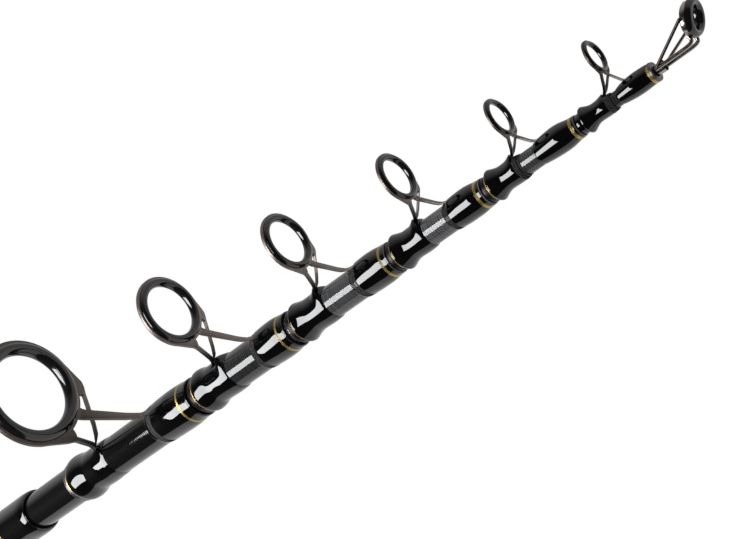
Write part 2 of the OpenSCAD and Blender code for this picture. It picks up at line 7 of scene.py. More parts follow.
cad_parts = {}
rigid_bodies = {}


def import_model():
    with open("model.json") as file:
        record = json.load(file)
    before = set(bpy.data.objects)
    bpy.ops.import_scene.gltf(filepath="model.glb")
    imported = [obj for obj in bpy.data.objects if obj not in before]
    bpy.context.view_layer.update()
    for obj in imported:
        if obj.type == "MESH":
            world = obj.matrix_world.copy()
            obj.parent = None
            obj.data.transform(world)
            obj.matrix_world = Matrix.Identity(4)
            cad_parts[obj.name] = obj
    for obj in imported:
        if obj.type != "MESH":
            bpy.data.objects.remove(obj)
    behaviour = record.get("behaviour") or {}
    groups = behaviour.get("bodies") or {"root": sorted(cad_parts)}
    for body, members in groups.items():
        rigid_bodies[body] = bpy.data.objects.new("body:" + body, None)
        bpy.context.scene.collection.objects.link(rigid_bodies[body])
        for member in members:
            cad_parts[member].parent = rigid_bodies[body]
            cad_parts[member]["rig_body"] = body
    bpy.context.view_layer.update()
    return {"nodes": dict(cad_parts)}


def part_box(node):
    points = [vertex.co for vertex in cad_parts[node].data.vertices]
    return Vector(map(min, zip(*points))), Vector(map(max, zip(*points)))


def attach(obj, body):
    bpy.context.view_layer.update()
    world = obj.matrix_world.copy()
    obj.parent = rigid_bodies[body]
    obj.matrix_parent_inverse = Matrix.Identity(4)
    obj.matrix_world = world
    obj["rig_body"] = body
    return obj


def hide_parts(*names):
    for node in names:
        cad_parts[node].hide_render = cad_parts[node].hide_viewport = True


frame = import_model()

# The blank: a butt tube, six section tubes that nest in it, and a solid tip.
# Each is rolled carbon cloth, squeezed by a spiral of tape while it cures, so that fine
# tape marks run round it. The mouths are cut square and broken a little at the edge.
MM = 0.001
SECTIONS = "abcdef"
# Painted sheen: the soft box's light that the tape marks scatter is painted into each tube's base
# colour, by its own amount.
TUBE_PAINTED_SHEEN = {
    "butt_tube": 0.006, "tube_a": 0.008, "tube_b": 0.055, "tube_c": 0.16, "tube_d": 0.24,
    "tube_e": 0.15, "tube_f": 0.08,
}
TIP_PAINTED_SHEEN = 0.06
PAINTED_SHEEN_LEAST, PAINTED_SHEEN_MOST = (0.3, 0.3, 0.31), (1.7, 1.7, 1.73)
MOUTH_ROUND = 0.12 * MM
TAPE_PITCH = 0.9 * MM
TAPE_DEPTH = 0.005 * MM
TAPE_WANDER = 0.8
SAME_SIDE = 0.6
BORE_SLACK = 0.03 * MM
EDGE_SHARE = 0.45


def outline(node, away=None):
    """Outside of a turned CAD solid as (radius, height) points, read on the side given by away."""
    levels = {}
    for v in frame["nodes"][node].data.vertices:
        x, y, z = v.co
        if away is None or cos(atan2(y, x) - away) > SAME_SIDE:
            levels.setdefault(round(z, 6), []).append(hypot(x, y))
    low, high = min(levels), max(levels)
    r0, r1 = min(levels[low]), min(levels[high])
    bore = {z: r0 + (r1 - r0) * (z - low) / (high - low) + BORE_SLACK for z in levels}
    kept = [z for z in sorted(levels) if z in (low, high) or max(levels[z]) > bore[z]]
    return [(max(levels[z]), z) for z in kept], levels


def bored(node):
    """Closed section of a turned solid with a straight bore."""
    outer, levels = outline(node)
    low, high = outer[0][1], outer[-1][1]
    return outer + [(min(levels[high]), high), (min(levels[low]), low)]


def unbored(node):
    """Closed section of a turned solid without a bore."""
    outer = outline(node)[0]
    return [(0, outer[0][1])] + outer + [(0, outer[-1][1])]


def corner(a, b, c):
    """Turn of a section at b, in radians."""
    u = (Vector(b) - Vector(a), Vector(c) - Vector(b))
    return 0 if min(u[0].length, u[1].length) < 1e-9 else u[0].angle(u[1])


def broken(section, radius, steps=3, least=radians(24)):
    """The section with its corners rounded, as far as its edges leave room."""
    out = []
    for k, b in enumerate(section):
        a, c = section[k - 1], section[(k + 1) % len(section)]
        if corner(a, b, c) < least or b[0] < 1e-9:
            out.append(b)
            continue
        b = Vector(b)
        ab, cb = Vector(a) - b, Vector(c) - b
        p = b + ab.normalized() * min(radius, EDGE_SHARE * ab.length)
        q = b + cb.normalized() * min(radius, EDGE_SHARE * cb.length)
        for s in range(steps + 1):
            t = s / steps
            out.append(tuple((1 - t) ** 2 * p + 2 * t * (1 - t) * b + t * t * q))
    return out


def flowing(section, steps, sharp=radians(22)):
    """The section with more points, curved between its corners."""
    n = len(section)
    points = [Vector(p) for p in section]
    hard = [corner(section[k - 1], section[k], section[(k + 1) % n]) > sharp for k in range(n)]
    out = []
    for k in range(n):
        a, b = points[k], points[(k + 1) % n]
        before, after = points[k - 1], points[(k + 2) % n]
        length = (b - a).length
        ta = tb = b - a
        if not hard[k]:
            ta = (b - before) * length / max(1e-12, length + (a - before).length)
        if not hard[(k + 1) % n]:
            tb = (after - a) * length / max(1e-12, length + (after - b).length)
        for s in range(steps):
            t = s / steps
            out.append(tuple(
                (2 * t ** 3 - 3 * t * t + 1) * a + (t ** 3 - 2 * t * t + t) * ta
                + (3 * t * t - 2 * t ** 3) * b + (t ** 3 - t * t) * tb
            ))
    return out


def turned(section, swell=None, place=Matrix.Identity(4), segments=96):
    """Mesh of a closed section turned round its axis, where swell(angle, radius, height) adds to
    the radius."""
    bm = bmesh.new()
    columns = []
    for s in range(segments):
        a = 2 * pi * s / segments
        column = []
        for r, z in section:
            r += swell(a, r, z) if swell else 0
            column.append(bm.verts.new(place @ Vector((r * cos(a), r * sin(a), z))))
        columns.append(column)
    n = len(section)
    for s in range(segments):
        here, there = columns[s], columns[(s + 1) % segments]
        for k in range(n):
            m = (k + 1) % n
            if section[k][0] < 1e-9 and section[m][0] < 1e-9:
                continue
            bm.faces.new((here[k], there[k], there[m], here[m]))
    bmesh.ops.remove_doubles(bm, verts=bm.verts, dist=1e-8)
    bmesh.ops.recalc_face_normals(bm, faces=bm.faces)
    mesh = bpy.data.meshes.new("turned")
    bm.to_mesh(mesh)
    bm.free()
    return mesh


def piece(name, mesh, material, smooth=radians(32)):
    """An object at the origin with that mesh and finish, smooth but for its sharp edges."""
    mesh.name = name
    mesh.materials.clear()
    mesh.materials.append(material)
    mesh.polygons.foreach_set("use_smooth", [True] * len(mesh.polygons))
    mesh.set_sharp_from_angle(angle=smooth)
    obj = bpy.data.objects.new(name, mesh)
    bpy.context.scene.collection.objects.link(obj)
    return obj


def stands_for(obj, node, slot):
    """The piece takes a CAD node's place and moves with its body. The slot is not used."""
    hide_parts(node)
    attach(obj, frame["nodes"][node]["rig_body"])


def finish(name, colour, roughness, **sockets):
    """A material with its plain values on the shader's own sockets."""
    material = bpy.data.materials.new(name)
    material.use_nodes = True
    shader = material.node_tree.nodes["Principled BSDF"]
    shader.inputs["Base Color"].default_value = (*colour, 1)
    shader.inputs["Roughness"].default_value = roughness
    for socket, value in sockets.items():
        shader.inputs[socket.replace("_", " ")].default_value = value
    return material


def node_in(tree, kind, inputs, **settings):
    """A node in a tree. An input is a value or another node's output."""
    node = tree.nodes.new(kind)
    for key, value in settings.items():
        setattr(node, key, value)
    for key, value in inputs.items():
        if isinstance(value, bpy.types.NodeSocket):
            tree.links.new(value, node.inputs[key])
        else:
            node.inputs[key].default_value = value
    return node


def sum_in(tree, operation, *terms):
    """Result of a sum in a tree."""
    return node_in(tree, "ShaderNodeMath", dict(enumerate(terms)), operation=operation).outputs[0]


def wire(material, kind, inputs, **settings):
    """A shader node in the material's tree."""
    return node_in(material.node_tree, "ShaderNode" + kind, inputs, **settings)


def feed(material, socket, output):
    """Links an output to a socket of the material's shader."""
    shader = material.node_tree.nodes["Principled BSDF"]
    material.node_tree.links.new(output, shader.inputs[socket])


def place_of(material):
    """Object coordinates, and their height along the rod."""
    spot = wire(material, "TexCoord", {}).outputs["Object"]
    return spot, wire(material, "SeparateXYZ", {0: spot}).outputs["Z"]


def mottle(material, scale, low, high, detail=3.0):
    """A noise over the piece that runs from low to high."""
    spot = place_of(material)[0]
    noise = wire(material, "TexNoise", {"Vector": spot, "Scale": scale, "Detail": detail})
    spread = wire(material, "MapRange", {
        "Value": noise.outputs["Fac"], "From Min": 0.3, "From Max": 0.7,
        "To Min": low, "To Max": high,
    })
    return spread.outputs["Result"]


def scaled(shares, level):
    """A colour from its shares of a level."""
    return [share * level for share in shares]


def tint(material, amount, first, second):
    """A colour between two by an amount from 0 to 1, as the base colour."""
    mixed = wire(material, "Mix", {0: amount, 6: (*first, 1), 7: (*second, 1)}, data_type="RGBA")
    feed(material, "Base Color", mixed.outputs[2])


def rings_round(material, pitch, wander=0.0):
    """A wave along the rod from 0 to 1 with that pitch, its turns wandering a little."""
    tree = material.node_tree
    spot, height = place_of(material)
    turn = sum_in(tree, "MULTIPLY", height, 2 / pitch)
    if wander:
        drift = wire(material, "TexNoise", {"Vector": spot, "Scale": 90.0, "Detail": 2.0})
        turn = sum_in(tree, "MULTIPLY_ADD", drift.outputs["Fac"], wander, turn)
    return sum_in(tree, "PINGPONG", turn, 1.0)


def relief(material, height, depth):
    """Raises the surface by a height from 0 to 1, depth metres in all."""
    bump = wire(material, "Bump", {"Height": height, "Distance": depth, "Strength": 1.0})
    feed(material, "Normal", bump.outputs["Normal"])


def tape_marks(material):
    """Rings round the rod, one to a turn of the tape, some deeper than others."""
    turn = sum_in(material.node_tree, "MULTIPLY", place_of(material)[1], 1 / TAPE_PITCH)
    uneven = wire(
        material, "TexNoise", {"W": turn, "Scale": 0.7, "Detail": 1.0}, noise_dimensions="1D",
    )
    wave = rings_round(material, TAPE_PITCH, TAPE_WANDER)
    return wire(material, "Mix", {0: 0.5, 2: wave, 3: uneven.outputs["Fac"]}).outputs[0]


def carbon(name, painted_sheen):
    """Carbon under a thin clear coat. Its base colour is a painted sheen, standing in for the soft
    box's light scattered by the tape marks: set for each tube, and lightened and darkened by the
    marks.
    """
    material = finish("carbon_" + name, (painted_sheen, painted_sheen, painted_sheen), 0.05, IOR=1.5)
    cloth = tape_marks(material)
    tint(material, cloth, scaled(PAINTED_SHEEN_LEAST, painted_sheen), scaled(PAINTED_SHEEN_MOST, painted_sheen))
    feed(material, "Roughness", mottle(material, 520.0, 0.04, 0.06))
    relief(material, cloth, TAPE_DEPTH)
    return material


for node, painted_sheen in TUBE_PAINTED_SHEEN.items():
    tube = piece("blank_" + node, turned(broken(bored(node), MOUTH_ROUND)), carbon(node, painted_sheen))
    stands_for(tube, node, "carbon")

tip_mesh = turned(broken(unbored("tip_rod"), MOUTH_ROUND), segments=64)
stands_for(piece("blank_tip_rod", tip_mesh, carbon("tip_rod", TIP_PAINTED_SHEEN)), "tip_rod", "carbon")

# The end plug and the butt cap. The plug is a moulded disc glued in the tube's end, on which
# section A stands. The cap is black rubber, pushed over the tube, with grip rings moulded round it.
PLUG_ROUND = 0.8 * MM
CAP_ROUND = 2.2 * MM
CAP_CHAMFER = 3 * MM
CAP_RINGS = 6
CAP_RING_DEPTH = 0.525 * MM
CAP_RING_POWER = 0.7
RINGS_FROM, RINGS_TO = 0.2, 0.8
SIDE_FROM, SIDE_TO, SIDE_STEPS = 0.16, 0.86, 96
SIDE_SHARE = 0.9

plug_plastic = finish("plug_plastic", (0.02, 0.02, 0.021), 0.5)
plug_flecks = mottle(plug_plastic, 700.0, 0.0, 1.0)
tint(plug_plastic, plug_flecks, (0.014, 0.014, 0.015), (0.03, 0.03, 0.031))
relief(plug_plastic, mottle(plug_plastic, 1500.0, 0.0, 1.0), 0.02 * MM)
plug_mesh = turned(broken(unbored("end_plug"), PLUG_ROUND), segments=64)
stands_for(piece("butt_end_plug", plug_mesh, plug_plastic), "end_plug", "plug")

rubber = finish("moulded_rubber", (0.016, 0.016, 0.016), 0.62)
tint(rubber, mottle(rubber, 180.0, 0.0, 1.0), (0.011, 0.011, 0.0115), (0.024, 0.0238, 0.0235))
feed(rubber, "Roughness", mottle(rubber, 300.0, 0.52, 0.72))
relief(rubber, mottle(rubber, 2600.0, 0.0, 1.0), 0.03 * MM)
cap_r, cap_top = (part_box("butt_cap")[1][axis] for axis in (0, 2))
butt_line = outline("butt_tube")[0]
butt_r = max(butt_line)[0]
cap_floor = butt_line[0][1]
cap_section = flowing(broken([
    (0, 0), (cap_r - CAP_CHAMFER, 0), (cap_r, CAP_CHAMFER), (cap_r, cap_top),
    (butt_r, cap_top), (butt_r, cap_floor), (0, cap_floor),
], CAP_ROUND), 2)


def grooved(angle, r, z):
    """Shallow moulded rings in the side of the cap."""
    share = (z / cap_top - RINGS_FROM) / (RINGS_TO - RINGS_FROM)
    if r < SIDE_SHARE * cap_r or not 0 < share < 1:
        return 0
    return -CAP_RING_DEPTH * abs(sin(pi * CAP_RINGS * share)) ** CAP_RING_POWER


side_steps = [SIDE_FROM + (SIDE_TO - SIDE_FROM) * k / SIDE_STEPS for k in range(SIDE_STEPS + 1)]
split = 1 + max(
    k for k, (r, z) in enumerate(cap_section) if r > cap_r - 1e-7 and z < SIDE_FROM * cap_top
)
cap_section = cap_section[:split] + [(cap_r, cap_top * share) for share in side_steps] + [
    (r, z) for r, z in cap_section[split:] if z > SIDE_TO * cap_top or r < SIDE_SHARE * cap_r
]
cap = piece("rubber_butt_cap", turned(cap_section, grooved), rubber)
stands_for(cap, "butt_cap", "rubber")

# The two grips, turned from blocks of closed-cell foam, bored and glued to the tube.
# Their ends are rounded over, and the cut cells leave a fine matt grain.
foam = finish("grip_foam", (0.02, 0.02, 0.021), 0.85)
tint(foam, mottle(foam, 1400.0, 0.0, 1.0, 6.0), (0.013, 0.013, 0.014), (0.032, 0.032, 0.033))
cells = wire(foam, "TexVoronoi", {"Vector": place_of(foam)[0], "Scale": 1500.0})
relief(foam, cells.outputs["Distance"], 0.09 * MM)
for node in ("rear_grip", "fore_grip"):
    grip = piece("foam_" + node, turned(flowing(bored(node), 4)), foam)
    stands_for(grip, node, "foam")

# The winding checks: two metal rings, turned and plated a dull pewter grey. They are pushed over
# the tube and glued, and close the front ends of the grips.
CHECK_ROUND = 0.5 * MM
RINGS_APART = 6 * MM
TURNING_PITCH = 0.22 * MM
TURNING_DEPTH = 0.004 * MM


def turned_metal(name, colour, low, high, roughness):
    """Plated metal with fine turning marks, its colour and roughness each between two values."""
    material = finish(name, colour, sum(roughness) / 2, Metallic=1.0)
    tint(material, mottle(material, 320.0, 0.0, 1.0), low, high)
    feed(material, "Roughness", mottle(material, 800.0, *roughness))
    relief(material, rings_round(material, TURNING_PITCH), TURNING_DEPTH)
    return material


pewter = turned_metal(
    "turned_pewter", (0.08, 0.075, 0.082), (0.06, 0.056, 0.064), (0.1, 0.094, 0.104), (0.36, 0.5),
)


def rings_of(node):
    """The sections of a node's rings, which stand apart and have straight sides."""
    levels = outline(node)[1]
    heights = sorted(levels)
    gaps = [k for k in range(1, len(heights)) if heights[k] - heights[k - 1] > RINGS_APART]
    for first, last in zip([0] + gaps, gaps + [len(heights)]):
        low, high = heights[first], heights[last - 1]
        yield [
            (max(levels[low]), low), (max(levels[high]), high),
            (min(levels[high]), high), (min(levels[low]), low),
        ]


def joined(meshes):
    """One mesh of several."""
    bm = bmesh.new()
    for mesh in meshes:
        bm.from_mesh(mesh)
    bmesh.ops.recalc_face_normals(bm, faces=bm.faces)
    result = bpy.data.meshes.new("joined")
    bm.to_mesh(result)
    bm.free()
    return result


checks = joined([turned(broken(ring, CHECK_ROUND)) for ring in rings_of("winding_checks")])
stands_for(piece("metal_winding_checks", checks, pewter), "winding_checks", "pewter")

# The reel seat: a moulded graphite body with a flat bed, a fixed hood and a thread cut round its
# front half, and the sliding hood that clamps the reel's foot. The nut is knurled metal.
SEAT_EDGE = 0.35 * MM
NUT_EDGE = 0.2 * MM
FLAT_TURN, EDGE_TURN = radians(1.5), radians(35)


def dressed(node, edge):
    """A CAD solid's own mesh, merged, with its flats made whole and its edges broken."""
    bm = bmesh.new()
    bm.from_mesh(frame["nodes"][node].data)
    bmesh.ops.remove_doubles(bm, verts=bm.verts, dist=1e-6)
    bmesh.ops.dissolve_limit(bm, angle_limit=FLAT_TURN, verts=bm.verts, edges=bm.edges)
    mesh = bpy.data.meshes.new(node)
    bm.to_mesh(mesh)
    bm.free()
    holder = bpy.data.objects.new("holder", mesh)
    bpy.context.scene.collection.objects.link(holder)
    bevel = holder.modifiers.new("edges", "BEVEL")
    bevel.width = edge
    bevel.segments = 2
    bevel.limit_method = "ANGLE"
    bevel.angle_limit = EDGE_TURN
    seen = holder.evaluated_get(bpy.context.evaluated_depsgraph_get())
    result = bpy.data.meshes.new_from_object(seen)
    bpy.data.objects.remove(holder)
    return result


seat_plastic = finish("graphite_plastic", (0.02, 0.02, 0.021), 0.34)
seat_flecks = mottle(seat_plastic, 900.0, 0.0, 1.0)
tint(seat_plastic, seat_flecks, (0.013, 0.013, 0.014), (0.034, 0.034, 0.036))
feed(seat_plastic, "Roughness", mottle(seat_plastic, 450.0, 0.28, 0.42))
relief(seat_plastic, mottle(seat_plastic, 2200.0, 0.0, 1.0), 0.015 * MM)
for node in ("reel_seat", "sliding_hood"):
    moulded = piece("moulded_" + node, dressed(node, SEAT_EDGE), seat_plastic)
    stands_for(moulded, node, "seat_plastic")
nut = piece("knurled_lock_nut", dressed("lock_nut", NUT_EDGE), pewter)
stands_for(nut, "lock_nut", "pewter")

# The lacquered wraps: black thread wound round the tube over the feet of the guides and round the
# butt's mouth, flooded with clear epoxy while the rod turns. The epoxy flows over each foot in a
# soft hump and ends in a rounded edge. Behind each guide it is built up into a bell.

# Six values are for the sections A to F, and the bare bands are in millimetres from a wrap's edge.
FAN = radians(8.6)
RING_R = (20 * MM, 12.5 * MM, 10 * MM, 8 * MM, 6 * MM, 5 * MM)
RING_NOSE = 0.12
FOOT_LEAST, FOOT_SHARE, TOE_SHARE = 3 * MM, 0.5, 0.62
FOOT_HUMP = 0.34 * MM
FOOT_SPREAD, FOOT_FADE = radians(30), 6 * MM
LEG_BACK = 2.2 * MM
LEG_HUMP = (0.12, 0.24, 0.27, 0.27, 0.25, 0.2)
LEG_SPREAD = radians(39)
LEG_ALONG = (7 * MM,) + 5 * (3.2 * MM,)
NECK_SHARES = ((0.1, 0.35, 0.64),) + 5 * ((0.15, 0.42, 0.8),)
NECK_DIP = 0.14 * MM
LIP_DIP = (0, 0.2 * MM, 0.03 * MM, 0, 0, 0)
LIP_ALONG = 1.6 * MM
HEEL_FALL = (0.16 * MM, 0, 0, 0, 0, 0)
HEEL_ALONG = 6 * MM
CREST = (0.07 * MM, 0.07 * MM, 0.02 * MM, 0, 0.12 * MM, 0.16 * MM)
CREST_SHARE, CREST_ALONG = 0.55, 3 * MM
UNEVEN = 0.006 * MM
UNEVEN_WAVES = (700, 380)
SKIN_LEAST, SKIN_FULL = 0.03 * MM, 0.3 * MM
BARE_EDGE = 0.4 * MM
BARE_FRONT = {"a": (1.3, 3.7), "b": (0.35, 2.6), "c": (0.5, 2.9), "d": (0.3, 2.1)}
BARE_BELL = {"e": (-1.8, 0.6), "f": (-2.0, 0.1)}
THREAD_PITCH, THREAD_DEPTH = 0.32 * MM, 0.03 * MM
EDGE_ROUND = 0.04 * MM
POUR_STEP, POUR_TAPS = 0.25 * MM, 4
BELL_REACH, WRAP_REACH = 0.5 * MM, 1.8 * MM
THIN_EDGE, THIN_SLOPE = 0.03 * MM, 0.4
BUTT_SKIN, BUTT_FALL = 0.75 * MM, 5.5 * MM

lacquer = finish(
    "thread_under_epoxy", (0.003, 0.003, 0.0033), 0.5, Specular_IOR_Level=0.0,
    Coat_Weight=1.0, Coat_Roughness=0.03, Coat_IOR=1.55,
)
threads = rings_round(lacquer, THREAD_PITCH)
tint(lacquer, threads, (0.0012, 0.0012, 0.0014), (0.004, 0.004, 0.0044))
relief(lacquer, threads, THREAD_DEPTH)


def on_line(points, z):
    """Radius of an outline at a height."""
    for (ra, za), (rb, zb) in zip(points, points[1:]):
        if za <= z <= zb and zb > za:
            return ra + (rb - ra) * (z - za) / (zb - za)
    return points[-1][0]


def ramp(a, b, x):
    """A smooth rise from 0 at a to 1 at b."""
    t = min(1, max(0, (x - a) / (b - a)))
    return t * t * (3 - 2 * t)


def ends_of(node):
    """Lowest and highest height of a node."""
    return (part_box(node)[side][2] for side in (0, 1))


def plate_front(k):
    """Height of the front of a guide's plate, from which the ring's nose stands out."""
    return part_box("guide_ring_" + SECTIONS[k])[1][2] - RING_NOSE * RING_R[k]


def bare_band(s):
    """Node and heights of the turns of thread that are left bare, at the start of a front wrap or
    at the front end of a bell."""
    if s in BARE_FRONT:
        node, (low, high) = "front_wrap_" + s, BARE_FRONT[s]
        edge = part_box(node)[0][2]
    else:
        node, (low, high) = "bell_" + s, BARE_BELL[s]
        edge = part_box(node)[1][2]
    return node, edge + low * MM, edge + high * MM


lacquer_lines = {}


def poured(node, tube, reach, away=None, thin=None, swell=None):
    """Closed section of a lacquered wrap, its outside drawn smooth over that reach, thinned out
    towards the end at the height thin, and raised to a skin of swell(height)."""
    outer, levels = outline(node, away)
    low, high = outer[0][1], outer[-1][1]
    count = round((high - low) / POUR_STEP)
    line = []
    for q in range(count + 1):
        z = low + (high - low) * q / count
        span = min(reach, z - low, high - z)
        near = [
            (POUR_TAPS + 1 - abs(t), on_line(outer, z + span * t / POUR_TAPS))
            for t in range(-POUR_TAPS, POUR_TAPS + 1)
        ]
        r = sum(weight * radius for weight, radius in near) / sum(weight for weight, radius in near)
        r = max(r, on_line(tube, z) + swell(z)) if swell else r
        r = min(r, on_line(tube, z) + THIN_EDGE + THIN_SLOPE * abs(z - thin)) if thin else r
        line.append((r, z))
    lacquer_lines[node] = line
    return line + [(min(levels[high]), high), (min(levels[low]), low)]


def flooded(k, tube, foot, landing, bare, neck=None, crest=None):
    """How the lacquer departs from its turned form: a soft hump over a guide's foot, a fillet where
    the frame lands, dips in a bell's neck or a fuller crest on a front wrap, and a little
    unevenness, none of it under bare thread."""
    (r0, z0), (r1, z1) = tube[0], tube[-1]
    low, high = min(foot, landing), max(foot, landing)

    def swell(angle, r, z):
        skin = r - (r0 + (r1 - r0) * (z - z0) / (z1 - z0))
        if skin < SKIN_LEAST:
            return 0
        off = (angle + FAN * k + pi) % (2 * pi) - pi
        along = ramp(low - FOOT_FADE, low, z) * (1 - ramp(high, high + FOOT_FADE, z))
        extra = FOOT_HUMP * along * exp(-(off / FOOT_SPREAD) ** 2)
        if neck:
            lip, waist, heel = neck
            away = hypot(off / (LEG_SPREAD + FAN * k), (z - landing) / LEG_ALONG[k])
            extra += LEG_HUMP[k] * r * max(0, 1 - away) ** 2
            extra -= NECK_DIP * ramp(lip, waist, z) * (1 - ramp(waist, heel, z))
            extra -= LIP_DIP[k] * exp(-((z - lip) / LIP_ALONG) ** 2)
            extra -= HEEL_FALL[k] * ramp(heel, heel + HEEL_ALONG, z)
        if crest:
            extra += CREST[k] * exp(-((z - crest) / CREST_ALONG) ** 2)
        wave, counter_wave = (turns * z for turns in UNEVEN_WAVES)
        extra += UNEVEN * sin(2 * angle + wave + 1.7 * k) * sin(3 * angle - counter_wave + k)
        hidden = ramp(bare[0] - BARE_EDGE, bare[0], z) * (1 - ramp(bare[1], bare[1] + BARE_EDGE, z))
        return extra * (1 - hidden) * min(1, skin / SKIN_FULL)

    return swell


butt_low, butt_high = ends_of("butt_wrap")


def butt_skin(z):
    """Thickness of the butt's wrap in its front half: even, then rounded off at the mouth."""
    left = 1 - min(1, (butt_high - z) / BUTT_FALL)
    grown = ramp(butt_low, (butt_low + butt_high) / 2, z)
    return BUTT_SKIN * grown * max(0, 1 - left * left) ** 0.5


butt_section = poured("butt_wrap", butt_line, WRAP_REACH, swell=butt_skin)
butt_wrap = piece("lacquered_butt_wrap", turned(broken(butt_section, EDGE_ROUND)), lacquer)
stands_for(butt_wrap, "butt_wrap", "lacquer")
for k, s in enumerate(SECTIONS):
    tube = outline("tube_" + s)[0]
    away = pi - FAN * k
    bare = bare_band(s)[1:]
    foot = FOOT_LEAST + FOOT_SHARE * RING_R[k]
    for kind in ("bell_", "front_wrap_"):
        node = kind + s
        low, high = ends_of(node)
        if kind == "bell_":
            section = poured(node, tube, BELL_REACH, away, high)
            landing = high - LEG_BACK
            neck = [low + share * (high - low) for share in NECK_SHARES[k]]
            swell = flooded(k, tube, landing - foot, landing, bare, neck)
        else:
            section = poured(node, tube, WRAP_REACH, away, low)
            landing = plate_front(k) + TOE_SHARE * RING_R[k]
            crest = low + CREST_SHARE * (high - low)
            swell = flooded(k, tube, landing + foot, landing, bare, crest=crest)
        mesh = turned(broken(section, EDGE_ROUND), swell, segments=144)
        stands_for(piece("lacquered_" + node, mesh, lacquer), node, "lacquer")

# The stop collars: turned rings glued round each section, which sit on the mouth of the next
# thicker tube when the rod is closed. Section F's is lacquered black, the others are metal, plated
# a dull purple grey that is lightest on section A's.
COLLAR_ROUND = 0.22 * MM
PLATING_LEAST, PLATING_MOST = (0.75, 0.68, 0.82), (1.25, 1.15, 1.35)
DARK_PLATING, LIGHT_PLATING = 0.022, 0.14


def collar_metal(name, level):
    """Turned metal, plated that light or dark."""
    low, high = scaled(PLATING_LEAST, level), scaled(PLATING_MOST, level)
    return turned_metal(name, (level, level, level), low, high, (0.32, 0.44))


dark_metal = collar_metal("dark_pewter", DARK_PLATING)
light_metal = collar_metal("bright_pewter", LIGHT_PLATING)
other_coats = {"a": (light_metal, "pewter"), "f": (lacquer, "lacquer")}
for s in SECTIONS:
    node = "stop_collar_" + s
    coat, slot = other_coats.get(s, (dark_metal, "pewter"))
    collar = piece("turned_" + node, turned(broken(bored(node), COLLAR_ROUND)), coat)
    stands_for(collar, node, slot)

# The thread that shows: a few grey turns left bare at the edge of one wrap at each guide, and the
# gold rings, metallic thread wound side by side over the collars and in the wraps.
THREAD_D = 0.24 * MM
BARE_SINK = 0.07 * MM
BARE_PARTS = 4
GOLD_PROUD = 0.05 * MM
TURN_POINTS, STRAND_POINTS = 96, 8


def winding_tree(name):
    """Turns of thread side by side between two heights, each following its own radius."""
    tree = bpy.data.node_groups.new(name, "GeometryNodeTree")
    face = tree.interface
    face.new_socket("Geometry", in_out="OUTPUT", socket_type="NodeSocketGeometry")
    sizes = {}
    for label, kind in (
        ("Turns", "Int"), ("First Height", "Float"), ("Last Height", "Float"),
        ("First Radius", "Float"), ("Last Radius", "Float"), ("Thread Radius", "Float"),
        ("Finish", "Material"),
    ):
        socket = face.new_socket(label, in_out="INPUT", socket_type="NodeSocket" + kind)
        sizes[label] = socket.identifier

    def add(kind, inputs, **settings):
        return node_in(tree, kind, inputs, **settings)

    given = add("NodeGroupInput", {}).outputs
    start = add("ShaderNodeCombineXYZ", {"Z": given["First Height"]}).outputs[0]
    end = add("ShaderNodeCombineXYZ", {"Z": given["Last Height"]}).outputs[0]
    line = add(
        "GeometryNodeMeshLine",
        {"Count": given["Turns"], "Start Location": start, "Offset": end},
        mode="END_POINTS",
    )
    last = sum_in(tree, "SUBTRACT", given["Turns"], 1.0)
    index = add("GeometryNodeInputIndex", {}).outputs[0]
    radius = add("ShaderNodeMapRange", {
        "Value": index, "From Max": last,
        "To Min": given["First Radius"], "To Max": given["Last Radius"],
    }).outputs["Result"]
    scale = add("ShaderNodeCombineXYZ", {"X": radius, "Y": radius, "Z": 1.0}).outputs[0]
    loop = add("GeometryNodeCurvePrimitiveCircle", {"Resolution": TURN_POINTS, "Radius": 1.0})
    turns = add("GeometryNodeInstanceOnPoints", {
        "Points": line.outputs[0], "Instance": loop.outputs[0], "Scale": scale,
    })
    real = add("GeometryNodeRealizeInstances", {0: turns.outputs[0]}).outputs[0]
    strand = add("GeometryNodeCurvePrimitiveCircle", {
        "Resolution": STRAND_POINTS, "Radius": given["Thread Radius"],
    })
    thread = add("GeometryNodeCurveToMesh", {
        "Curve": real, "Profile Curve": strand.outputs[0],
    }).outputs[0]
    plain = add("GeometryNodeRealizeInstances", {0: thread}).outputs[0]
    coated = add("GeometryNodeSetMaterial", {"Geometry": plain, "Material": given["Finish"]})
    add("NodeGroupOutput", {0: coated.outputs[0]})
    return tree, sizes


winding, winding_sizes = winding_tree("thread_winding")


def wound(material, low, high):
    """Plain mesh of thread turns from the point low to the point high of a section."""
    carrier = bpy.data.objects.new("carrier", bpy.data.meshes.new("carrier"))
    bpy.context.scene.collection.objects.link(carrier)
    made = carrier.modifiers.new("winding", "NODES")
    made.node_group = winding
    values = {
        "Turns": max(2, round((high[1] - low[1]) / THREAD_D)),
        "First Height": low[1] + THREAD_D / 2, "Last Height": high[1] - THREAD_D / 2,
        "First Radius": low[0], "Last Radius": high[0], "Thread Radius": THREAD_D / 2,
        "Finish": material,
    }
    for label, value in values.items():
        made[winding_sizes[label]] = value
    seen = carrier.evaluated_get(bpy.context.evaluated_depsgraph_get())
    mesh = bpy.data.meshes.new_from_object(seen)
    carrier.modifiers.remove(made)
    bpy.data.objects.remove(carrier)
    return mesh


bare_thread = finish("bare_grey_thread", (0.05, 0.048, 0.046), 0.8, Specular_IOR_Level=0.15)
tint(bare_thread, mottle(bare_thread, 2400.0, 0.0, 1.0), (0.11, 0.104, 0.1), (0.15, 0.142, 0.137))
feed(bare_thread, "Roughness", mottle(bare_thread, 900.0, 0.7, 0.9))

gold = finish("gold_thread", (0.55, 0.42, 0.11), 0.4, Metallic=1.0)
tint(gold, mottle(gold, 900.0, 0.0, 1.0), (0.48, 0.365, 0.09), (0.62, 0.48, 0.14))
feed(gold, "Roughness", mottle(gold, 700.0, 0.36, 0.46))


